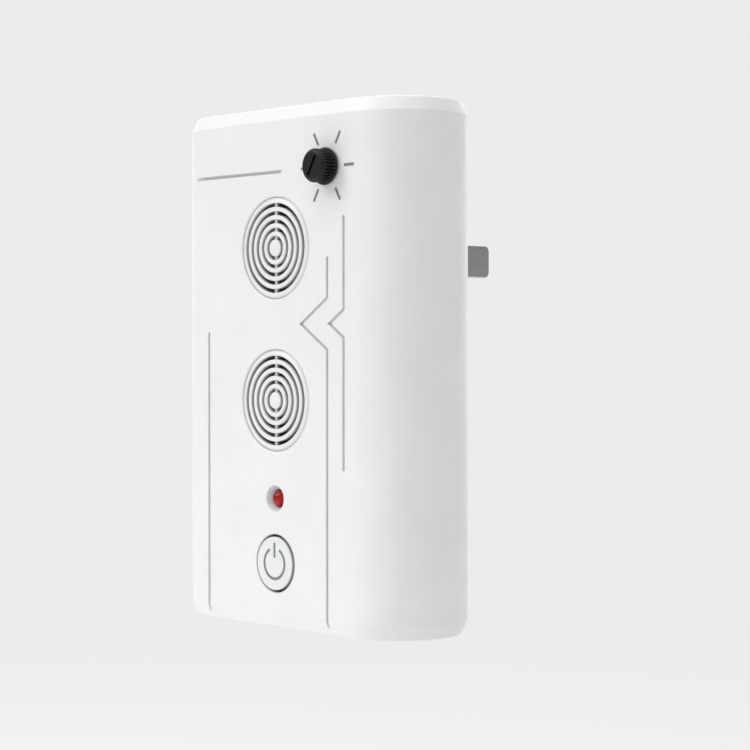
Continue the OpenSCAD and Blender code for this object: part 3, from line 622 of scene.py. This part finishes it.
def half_body(keep_front):
    """The pill on one side of the joint, with a small chamfer round the joint, hollowed out."""

    def build(bm):
        pill(bm)
        cut = bmesh.ops.bisect_plane(
            bm,
            geom=bm.verts[:] + bm.edges[:] + bm.faces[:],
            plane_co=(0, JOINT_Y, 0),
            plane_no=(0, 1, 0),
            clear_outer=keep_front,
            clear_inner=not keep_front,
        )
        rim = [e for e in cut["geom_cut"] if isinstance(e, bmesh.types.BMEdge)]
        bmesh.ops.holes_fill(bm, edges=rim, sides=0)
        rim = [e for e in bm.edges if all(abs(v.co.y - JOINT_Y) < 1e-5 for v in e.verts)]
        bmesh.ops.bevel(bm, geom=rim, offset=JOINT_CHAMFER, segments=2, profile=0.5, affect="EDGES")

    shell = draft(build)

    def cavity(bm):
        pill(bm, -WALL, soft=False)

    return combine(shell, draft(cavity))


GROOVE_HALF, GROOVE_DEPTH = 0.3, 0.65


def groove_lines():
    """Middle lines of the decorative grooves, as (x, z) points."""
    past = -(TOP - BOTTOM) / 2 - FAR
    # heights from the middle of the body
    lines = [
        [(-ROUND_R - STRAIGHT - FAR, 36.4), (1.6, 36.4)],
        [(-19.6, 6.4), (-19.6, past)],
        [(14.6, 20), (14.6, 12.8), (7.4, 8.1), (14.6, 3.4), (14.6, past)],
        [(19, 27.2), (19, 10.6), (15.2, 8.1), (19, 5.6), (19, -18.2)],
    ]
    return [[(x, z + MID_Z) for x, z in line] for line in lines]


GRILLE_HOLE_R, GRILLE_LIP = 9.5, 0.4
DIAL_HOLE_R = 2.75
BUTTON_HOLE_R, BUTTON_LIP, BUTTON_LIP_REACH = 5.46, 0.2, 0.8
SCREW_BOSS_R, COVER_PILOT_R, BOARD_PILOT_R = 2.6, 1.1, 0.9
HEAD_R, BOARD_HEAD_R = 2.2, 2.0
SOUNDER_RING = (10.5, 11.5)  # inner and outer radius of the wall round a sounder
SCREW_JOINT_Y = BACK - 5  # where the screw bosses of the two halves meet


def front_cuts(bm):
    """The holes of the front, the lamp's cup and the grooves."""
    through = FRONT + WALL + FAR
    for at in (UPPER, LOWER):
        lathe(bm, hole_profile(GRILLE_HOLE_R, FRONT, through, GRILLE_LIP), at, 128)
    lathe(bm, hole_profile(DIAL_HOLE_R, FRONT, through), DIAL, 64)
    lathe(bm, hole_profile(BUTTON_HOLE_R, FRONT, through, BUTTON_LIP, BUTTON_LIP_REACH, 8), BUTTON, 128)
    cup = [(2.75, -FAR), (2.75, -0.01), (2.52, 0.0, 0.15), (2.1, 0.75, 0.3), (1.7, 1.1), (1.7, WALL + FAR)]
    turned = [(r, FRONT + depth) for r, depth in softened(cup, 6)]
    lathe(bm, [(0, turned[0][1])] + turned + [(0, through)], LAMP, 96)
    for line in groove_lines():
        ribbon(bm, line, lip_layers(GROOVE_HALF, FRONT, FRONT + GROOVE_DEPTH, 0.09))


def corner_rods(bm, node, radius, y0, y1, steps=32):
    """Bosses or holes at the four places of a screw node."""
    for at in corner_places(node):
        lathe(bm, [(0, y0), (radius, y0), (radius, y1), (0, y1)], at, steps)


def corner_places(node):
    """The four places of a screw node, as (x, z) points."""
    lo, hi = limits(node)
    r = {"cover_screws": HEAD_R, "board_screws": BOARD_HEAD_R}[node]
    return [(x, z) for x in (lo.x + r, hi.x - r) for z in (lo.z + r, hi.z - r)]


def front_shell():
    """Front half of the case with its screw bosses and the rings round the sounders."""
    shell = half_body(True)
    inner, ring_end = FRONT + WALL - 0.5, FRONT + 4
    r0, r1 = SOUNDER_RING
    board = limits("circuit_board")[0].y

    def bosses(bm):
        corner_rods(bm, "board_screws", SCREW_BOSS_R, inner, board)
        corner_rods(bm, "cover_screws", SCREW_BOSS_R, inner, SCREW_JOINT_Y)
        for at in (UPPER, LOWER):
            lathe(bm, [(r0, inner), (r1, inner), (r1, ring_end), (r0, ring_end)], at, 96)

    combine(shell, draft(bosses), "UNION")
    combine(shell, draft(front_cuts))

    def pilot_holes(bm):
        for node, radius, end in (
            ("board_screws", BOARD_PILOT_R, board),
            ("cover_screws", COVER_PILOT_R, SCREW_JOINT_Y),
        ):
            corner_rods(bm, node, radius, limits(node)[0].y - FAR, end + FAR)

    combine(shell, draft(pilot_holes))
    return piece(shell, "front_shell_moulding", "housing", "shell_plastic", "front_shell")


BOSS_SIZE, BOSS_R, BOSS_WALL, BOSS_FACE = (30, 24), 5, 2, 2.5
BOSS_RIM = 0.9
RETAINER_STEP = 6.2  # from the middle of the boss to a retainer screw
BLADE_SLOT = (1.7, 6.55)
LABEL_SIZE, LABEL_R, LABEL_DEPTH = (44, 34), 2, 0.3
LABEL = (0, MID_Z - 20)


def boss_outer(bm):
    """Plug boss with a rounded rim and a small flare where it meets the cover."""
    steps = 5
    layers = [(0.35, BACK - WALL + 0.5), (0.35, BACK - 0.02), (0.12, BACK + 0.1), (0.0, BACK + 0.35)]
    for k in range(steps + 1):
        t = math.radians(90 * k / steps)
        layers.append((BOSS_RIM * (math.cos(t) - 1), BOSS_BACK + BOSS_RIM * (math.sin(t) - 1)))
    rounded_block(bm, BOSS_SIZE, BOSS_R, BOSS, layers)


def rear_cover():
    """Back half of the case: plug boss, screw bosses, ribs, blade slots and a blank label recess."""
    cover = half_body(False)
    combine(cover, draft(boss_outer), "UNION")
    seat = BACK - 2.3

    def retainer_rods(bm, radius, y0, y1, steps):
        for side in (-1, 1):
            at = (BOSS[0], BOSS[1] + side * RETAINER_STEP)
            lathe(bm, [(0, y0), (radius, y0), (radius, y1), (0, y1)], at, steps)

    def inside(bm):
        layers = [(-BOSS_WALL, BACK - WALL - FAR), (-BOSS_WALL, BOSS_BACK - BOSS_FACE)]
        rounded_block(bm, BOSS_SIZE, BOSS_R, BOSS, layers)

    combine(cover, draft(inside))

    def bosses(bm):
        corner_rods(bm, "cover_screws", SCREW_BOSS_R, SCREW_JOINT_Y, seat)
        rib_y = JOINT_Y - 1.4, BACK - 1.5
        for side in (-1, 1):
            x, z = side * 24.6, MID_Z + side * 44.6
            box(bm, (x - 0.5, rib_y[0], MID_Z - 26), (x + 0.5, rib_y[1], MID_Z + 26))
            box(bm, (-15, rib_y[0], z - 0.5), (15, rib_y[1], z + 0.5))
        retainer_rods(bm, 2.2, BACK + 2, BOSS_BACK - 2, 32)

    combine(cover, draft(bosses), "UNION")

    def cuts(bm):
        for at in corner_places("cover_screws"):
            mouth = [(0, BACK + FAR), (2.75, BACK + FAR), (2.53, BACK - 0.01), (2.43, BACK - 0.06)]
            well = [(2.4, BACK - 0.14), (2.4, seat), (1.3, seat), (1.3, SCREW_JOINT_Y - FAR)]
            lathe(bm, mouth + well + [(0, SCREW_JOINT_Y - FAR)], at, 64)
        edge = [(0.3, BACK + FAR), (0.12, BACK - 0.01), (0.02, BACK - 0.08)]
        rounded_block(bm, LABEL_SIZE, LABEL_R, LABEL, edge + [(-0.06, BACK - LABEL_DEPTH)])
        mouth = [(0.4, BOSS_BACK + FAR), (0.18, BOSS_BACK - 0.01), (0.05, BOSS_BACK - 0.08)]
        slot = [(0, BOSS_BACK - 0.2), (0, BOSS_BACK - BOSS_FACE - FAR)]
        for node in ("left_blade", "right_blade"):
            at = (middle(node)[0], BOSS[1])
            rounded_block(bm, BLADE_SLOT, 0.2, at, mouth + slot, 3)
        retainer_rods(bm, 0.9, BACK + 1, BOSS_BACK - 1.2, 24)

    combine(cover, draft(cuts))
    return piece(cover, "rear_cover_moulding", "housing", "shell_plastic", "rear_cover")


# ---------------------------------------------------------------- front details

SLOT_R, SLOT_PITCH, SLOT_W, SLOT_COUNT = 1.93, 1.52, 0.72, 5
GRILLE_R, GRILLE_FLANGE_R, BRIDGE_W, BRIDGE_RECESS = 9.45, 10.4, 0.7, 0.35
SLOT_EDGE = 0.14
RIM_R, RIM_DROP = 8.75, 0.36  # where the rim starts to slope back, and how far it does


def grille(name, node, at):
    """Slotted insert: a rounded centre disc and rings held by one recessed upright."""
    face, plate_back = limits(node)[0].y, FRONT + WALL
    back = limits(node)[1].y

    def rings(bm):
        first = SLOT_R - SLOT_W / 2
        disc = [(0, face), (first, face, SLOT_EDGE), (first, plate_back), (0, plate_back)]
        lathe(bm, softened(disc), at, 64)
        for k in range(SLOT_COUNT - 1):
            inner = SLOT_R + k * SLOT_PITCH + SLOT_W / 2
            outer = SLOT_R + (k + 1) * SLOT_PITCH - SLOT_W / 2
            ring = [(inner, face, SLOT_EDGE), (outer, face, SLOT_EDGE)]
            ring += [(outer, plate_back), (inner, plate_back)]
            lathe(bm, softened(ring, 4, closed=True), at, 128)
        inner = SLOT_R + (SLOT_COUNT - 1) * SLOT_PITCH + SLOT_W / 2
        outer_ring = [
            (inner, face, SLOT_EDGE),
            (RIM_R, face, 0.5),
            (GRILLE_R, face + RIM_DROP),
            (GRILLE_R, plate_back),
            (GRILLE_FLANGE_R, plate_back),
            (GRILLE_FLANGE_R, back),
            (inner, back),
        ]
        lathe(bm, softened(outer_ring, 4, closed=True), at, 128)

    def upright(bm):
        reach = SLOT_R + (SLOT_COUNT - 1) * SLOT_PITCH + SLOT_W
        x, z = at
        lo = (x - BRIDGE_W / 2, face + BRIDGE_RECESS, z - reach)
        box(bm, lo, (x + BRIDGE_W / 2, plate_back - 0.1, z + reach))

    insert = combine(draft(rings), draft(upright), "UNION")
    return piece(insert, name, "housing", "trim_plastic", node)


KNURLS, KNURL_STEPS = 32, 10
REST_BEARING = 240  # degrees from the right of the tick that the pointer stands at
STEM_R, SHAFT_R = 2.45, 1.5


def knob():
    """Knurled thumb knob with a chamfered front disc and a pointer slot."""
    lo, hi = limits("adjustment_knob")
    face, stem_end = lo.y, hi.y
    flange_r = (hi.x - lo.x) / 2
    # depth behind the face, radius and depth of the knurl
    profile = [
        (0.0, 2.3, 0),
        (0.03, 2.42, 0),
        (0.1, 2.56, 0),
        (0.22, 2.74, 0.02),
        (0.38, 2.92, 0.05),
        (0.52, 3.02, 0.09),
        (0.66, 3.07, 0.14),
        (0.82, 3.08, 0.2),
        (1.0, 3.07, 0.27),
        (1.3, 3.03, 0.33),
        (1.7, 2.98, 0.36),
        (2.1, 2.93, 0.36),
        (2.34, 2.9, 0.34),
        (2.5, 2.98, 0.36),
        (2.7, 3.15, 0.38),
        (2.88, 3.3, 0.36),
        (2.98, 3.37, 0.2),
        (3.04, 3.39, 0),
        (3.22, 3.4, 0),
        (3.31, 3.37, 0),
        (3.35, 3.3, 0),
    ]

    def build(bm):
        rings = []
        n = KNURLS * KNURL_STEPS
        for depth, radius, knurl in profile:
            ring = []
            for i in range(n):
                a = 2 * math.pi * i / n
                saw = abs(2 * (i % KNURL_STEPS) / KNURL_STEPS - 1)
                groove = max(0.0, 1 - saw * 1.6) ** 0.7
                r = min(radius, flange_r) - knurl * groove
                ring.append((DIAL[0] + r * math.cos(a), face + depth, DIAL[1] + r * math.sin(a)))
            rings.append(ring)
        skin(bm, rings)

    def stem(bm):
        start = face + 2.5
        lathe(bm, [(0, start), (STEM_R, start), (STEM_R, stem_end), (0, stem_end)], DIAL, 64)

    def pointer(bm):
        a = math.radians(REST_BEARING)
        d = Vector((math.cos(a), math.sin(a))) * 1.8
        centre = Vector(DIAL)
        ribbon(bm, [centre + d, centre - d], lip_layers(0.3, face, face + 0.6, 0.05, 0.08))

    def bore(bm):
        y0 = limits("pot_shaft")[0].y
        end = stem_end + FAR
        lathe(bm, [(0, y0), (SHAFT_R, y0), (SHAFT_R, end), (0, end)], DIAL, 48)

    made = combine(draft(build), draft(stem), "UNION")
    combine(made, draft(pointer))
    combine(made, draft(bore))
    return piece(made, "knurled_knob", "dial", "knob_plastic", "adjustment_knob", sharp=32)


CAP_R, CAP_FLANGE_R, CAP_POST_R = 4.97, 6.1, 2.0


def power_button():
    """Round cap with a crisp edge, the flange that keeps it in and the post behind it."""
    lo, hi = limits("power_button")
    face = lo.y
    flange = FRONT + 2.3
    profile = [
        (0, face),
        (CAP_R, face, 0.15),
        (CAP_R, flange, 0.1),
        (CAP_FLANGE_R, flange, 0.1),
        (CAP_FLANGE_R, flange + 1, 0.1),
        (CAP_POST_R, flange + 1),
        (CAP_POST_R, hi.y),
        (0, hi.y),
    ]
    made = draft(lambda bm: lathe(bm, softened(profile, 6), BUTTON, 128))
    return piece(made, "power_button_cap", "button", "button_plastic", "power_button")


SYMBOL_R, SYMBOL_HALF = 2.86, 0.265
SYMBOL_OPEN = 32  # degrees left open on each side of the top
SYMBOL_BAR = (1.05, 3.95)  # the bar's ends above the middle of the button


def power_symbol():
    """Printed power symbol: an open ring and an upright bar, both with round ends."""
    lo, hi = limits("power_symbol")
    steps = 64

    def build(bm):
        arc = []
        for k in range(steps + 1):
            a = math.radians(90 + SYMBOL_OPEN + (360 - 2 * SYMBOL_OPEN) * k / steps)
            arc.append((BUTTON[0] + SYMBOL_R * math.cos(a), BUTTON[1] + SYMBOL_R * math.sin(a)))
        low, high = SYMBOL_BAR[0] + SYMBOL_HALF, SYMBOL_BAR[1] - SYMBOL_HALF
        bar = [(BUTTON[0], BUTTON[1] + low), (BUTTON[0], BUTTON[1] + high)]
        edge = 0.015
        for line in (arc, bar):
            ribbon(bm, line, [(SYMBOL_HALF - edge, lo.y), (SYMBOL_HALF, lo.y + edge), (SYMBOL_HALF, hi.y)])

    return piece(draft(build), "printed_symbol", "button", "symbol_ink", "power_symbol")


TICKS = 6
TICK_FROM, TICK_TO, TICK_HALF, TICK_CORNER = 4.6, 7.13, 0.26, 0.06


def dial_scale():
    """Printed tick marks around the dial, with slightly rounded corners."""
    top = limits("dial_scale")[0].y
    size = (TICK_TO - TICK_FROM, 2 * TICK_HALF)
    flat = rounded_rect(*size, TICK_CORNER, ((TICK_FROM + TICK_TO) / 2, 0), 3)

    def build(bm):
        for i in range(TICKS):
            a = math.radians(360 * i / TICKS)
            out, side = Vector((math.cos(a), math.sin(a))), Vector((-math.sin(a), math.cos(a)))
            ring = [Vector(DIAL) + out * r + side * s for r, s in flat]
            skin(bm, [[(p.x, y, p.y) for p in ring] for y in (top, FRONT + 0.01)])

    return piece(draft(build), "printed_ticks", "housing", "dial_ink", "dial_scale")


def lamp():
    """Round-nosed lamp with its collar."""
    lo, hi = limits("lamp_lens")
    r, collar_r, rear = 1.6, 2.0, hi.y
    angles = [math.radians(t) for t in range(0, 91, 6)]
    nose = [(r * math.sin(a), lo.y + r - r * math.cos(a)) for a in angles]
    collar = [(r, rear - 1), (collar_r - 0.1, rear - 1), (collar_r, rear - 0.9), (collar_r, rear), (0, rear)]
    made = draft(lambda bm: lathe(bm, nose + collar, LAMP, 64))
    return piece(made, "lamp_body", "housing", "lamp_epoxy", "lamp_lens")


# ---------------------------------------------------------------- plug and screws

BLADE_W = 6.35
HEAD_H, THREAD_R, THREAD_DEPTH, PITCH = 1.2, 1.1, 0.18, 0.44
ARM_SHAPE = 0.26  # half width of a driver cross's arm for its length


def blade(name, node):
    """Plug blade with rolled edges, a coined tip and the shoulder that holds it in the boss."""
    lo, hi = limits(node)
    x = (lo.x + hi.x) / 2
    half_t, half_w = (hi.x - lo.x) / 2, BLADE_W / 2
    tail, tip, z = lo.y, hi.y, BOSS[1]
    roll = 0.22

    def ring(inset, at_x):
        flat = [
            (tail + inset, z - half_w + inset, 1),
            (tip - inset, z - half_w + inset, 1),
            (tip - inset, z + half_w - inset, 1),
            (tail + inset, z + half_w - inset, 1),
        ]
        return [(at_x, py, pz) for py, pz in softened(flat, 8, closed=True)]

    def build(bm):
        steps = 3
        rings = []
        for k in range(steps + 1):
            t = math.radians(90 * k / steps)
            rings.append(ring(roll - roll * math.sin(t), x - half_t + roll - roll * math.cos(t)))
        for k in range(steps + 1):
            t = math.radians(90 * k / steps)
            rings.append(ring(roll - roll * math.cos(t), x + half_t - roll + roll * math.sin(t)))
        skin(bm, rings)

    def shoulder(bm):
        inner = BOSS_BACK - BOSS_FACE
        box(bm, (x - half_t + 0.01, inner - 2, z - 4.5), (x + half_t - 0.01, inner, z + 4.5))

    made = combine(draft(build), draft(shoulder), "UNION")
    return piece(made, name, "housing", "blade_nickel", node)


def cover_screws():
    """Four pan-head screws with a cross recess and a turned thread."""
    lo, hi = limits("cover_screws")
    top, seat, root_r = hi.y, hi.y - HEAD_H, THREAD_R - THREAD_DEPTH

    def build(bm):
        for at in corner_places("cover_screws"):
            thread, y = [], lo.y + 0.9
            while y < seat - 0.6:
                thread += [(root_r, y), (THREAD_R, y + PITCH / 2)]
                y += PITCH
            shank = [(0, lo.y), (0.25, lo.y)] + thread + [(root_r, seat - 0.3), (root_r, seat)]
            head = softened([(1.6, seat), (HEAD_R, seat, 0.1), (HEAD_R, top, 0.5), (0, top)], 5)
            lathe(bm, shank + head, at, 48)

    def crosses(bm):
        for x, z in corner_places("cover_screws"):
            rings = []
            for arm, y in ((1.2, top + FAR), (1.1, top - 0.05), (0.6, top - 0.7)):
                half = ARM_SHAPE * arm
                corners = [(arm, -half), (arm, half), (half, half)]
                ring = []
                for _ in range(4):
                    ring += [(x + u, y, z + v) for u, v in corners]
                    corners = [(-v, u) for u, v in corners]
                rings.append(ring)
            skin(bm, rings)

    made = draft(build)
    combine(made, draft(crosses))
    return piece(made, "cover_screw_set", "housing", "screw_steel", "cover_screws")


# ---------------------------------------------------------------- carried-over CAD nodes


def dress_cad_nodes():
    """Every CAD node that still shows takes the material of its slot in the record."""
    slots = {part["node"]: part["material_slot"] for part in frame["record"]["subparts"]}
    for node, obj in frame["nodes"].items():
        if obj.hide_render:
            continue
        obj.data.materials.clear()
        obj.data.materials.append(MATERIALS[slots[node]])


# ---------------------------------------------------------------- camera, light and floor

CAMERA_FROM = (284.52, -253.7, 3.87)  # millimetres from the middle of the body
CAMERA_TURN = 46.84  # degrees from straight in front, towards the right
CAMERA_DIP = 0.803  # degrees below level
BACKDROP = 0.838
LIT_POINT = (0, -0.02, -0.02)


def camera():
    """Camera at the front right of the object, almost level."""
    data = bpy.data.cameras.new("camera")
    data.sensor_width, data.lens = 36, 96.0
    data.clip_start, data.clip_end = 0.01, 50
    obj = bpy.data.objects.new("camera", data)
    obj.location = (Vector(CAMERA_FROM) + Vector((0, AXIS_Y, MID_Z))) * MM
    obj.rotation_euler = (math.radians(90 - CAMERA_DIP), 0, math.radians(CAMERA_TURN))
    bpy.context.scene.collection.objects.link(obj)
    bpy.context.scene.camera = obj


def area_light(name, at, size, power):
    """Round soft light aimed at the object and hidden from the camera."""
    data = bpy.data.lights.new(name, "AREA")
    data.shape, data.size, data.energy = "DISK", size, power
    obj = bpy.data.objects.new(name, data)
    obj.location = at
    obj.rotation_euler = (Vector(LIT_POINT) - obj.location).to_track_quat("-Z", "Y").to_euler()
    obj.visible_camera = False
    bpy.context.scene.collection.objects.link(obj)


# Light tent: an even level, and soft lobes as (bearing from the front, elevation, reach in degrees, strength)
TENT_LEVEL = 0.02
TENT_LOBES = [
    (-135, 10, 60, 1.38),
    (180, 10, 60, 0.5),
    (60, 50, 60, 0.6),
    (0, 90, 60, 1.47),
    (120, -40, 50, 0.9),
    (0, -20, 50, 1.0),
]
AREA_LIGHTS = [("key", (-0.55, -0.75, 0.65), 0.6, 5.04), ("below", (-0.05, -0.12, -0.17), 0.25, 0.071)]


def sky():
    """Even pale backdrop to the eye, and a tent of soft lobes for the light."""
    world = bpy.data.worlds.new("tent")
    bpy.context.scene.world = world
    world.use_nodes = True
    nodes, links = world.node_tree.nodes, world.node_tree.links
    nodes.clear()
    coords = nodes.new("ShaderNodeTexCoord").outputs["Generated"]
    total = None
    for bearing, elevation, reach, strength in TENT_LOBES:
        b, e = math.radians(bearing), math.radians(elevation)
        towards = nodes.new("ShaderNodeVectorMath")
        towards.operation = "DOT_PRODUCT"
        towards.inputs[1].default_value = (math.sin(b) * math.cos(e), -math.cos(b) * math.cos(e), math.sin(e))
        links.new(coords, towards.inputs[0])
        lobe = nodes.new("ShaderNodeMapRange")
        lobe.interpolation_type = "SMOOTHSTEP"
        lobe.inputs["From Min"].default_value = math.cos(math.radians(reach))
        lobe.inputs["To Max"].default_value = strength
        links.new(towards.outputs["Value"], lobe.inputs["Value"])
        add = nodes.new("ShaderNodeMath")
        add.inputs[0].default_value = TENT_LEVEL
        if total:
            links.new(total, add.inputs[0])
        links.new(lobe.outputs["Result"], add.inputs[1])
        total = add.outputs[0]
    tent, plain = nodes.new("ShaderNodeBackground"), nodes.new("ShaderNodeBackground")
    links.new(total, tent.inputs["Strength"])
    plain.inputs["Color"].default_value = (BACKDROP, BACKDROP, BACKDROP, 1)
    tent.inputs["Color"].default_value = (1, 1, 1, 1)
    seen = nodes.new("ShaderNodeLightPath")
    mix = nodes.new("ShaderNodeMixShader")
    links.new(seen.outputs["Is Camera Ray"], mix.inputs["Fac"])
    links.new(tent.outputs[0], mix.inputs[1])
    links.new(plain.outputs[0], mix.inputs[2])
    output = nodes.new("ShaderNodeOutputWorld")
    links.new(mix.outputs[0], output.inputs["Surface"])


FLOOR_DROP, FLOOR_TONE = 0.12, 0.73
FADE_FROM, FADE_TO = 0.15, 0.9  # distances from the middle, in metres


def floor():
    """Pale disc under the object that fades into the backdrop colour at its rim."""
    bm = bmesh.new()
    bmesh.ops.create_circle(bm, cap_ends=True, segments=96, radius=FADE_TO * 6)
    mesh = bpy.data.meshes.new("floor")
    bm.to_mesh(mesh)
    bm.free()
    obj = bpy.data.objects.new("floor", mesh)
    obj.location.z = BOTTOM * MM - FLOOR_DROP
    bpy.context.scene.collection.objects.link(obj)
    look = Look("floor", Roughness=0.9)
    look.bsdf.inputs["Base Color"].default_value = (FLOOR_TONE, FLOOR_TONE, FLOOR_TONE, 1)
    length = look.tree.nodes.new("ShaderNodeVectorMath")
    length.operation = "LENGTH"
    look.link(look.coords, length.inputs[0])
    fade = look.tree.nodes.new("ShaderNodeMapRange")
    fade.interpolation_type = "SMOOTHSTEP"
    fade.inputs["From Min"].default_value = FADE_FROM
    fade.inputs["From Max"].default_value = FADE_TO
    look.link(length.outputs["Value"], fade.inputs["Value"])
    glow = look.tree.nodes.new("ShaderNodeEmission")
    glow.inputs["Color"].default_value = (BACKDROP, BACKDROP, BACKDROP, 1)
    mix = look.tree.nodes.new("ShaderNodeMixShader")
    look.link(fade.outputs["Result"], mix.inputs["Fac"])
    look.link(look.bsdf.outputs[0], mix.inputs[1])
    look.link(glow.outputs[0], mix.inputs[2])
    look.link(mix.outputs[0], look.tree.nodes["Material Output"].inputs["Surface"])
    mesh.materials.append(look.material)


bpy.context.scene.view_settings.view_transform = "Standard"
camera()
sky()
floor()
for light in AREA_LIGHTS:
    area_light(*light)

front_shell()
rear_cover()
grille("upper_grille_insert", "upper_grille", UPPER)
grille("lower_grille_insert", "lower_grille", LOWER)
knob()
power_button()
power_symbol()
dial_scale()
lamp()
blade("left_plug_blade", "left_blade")
blade("right_plug_blade", "right_blade")
cover_screws()
dress_cad_nodes()
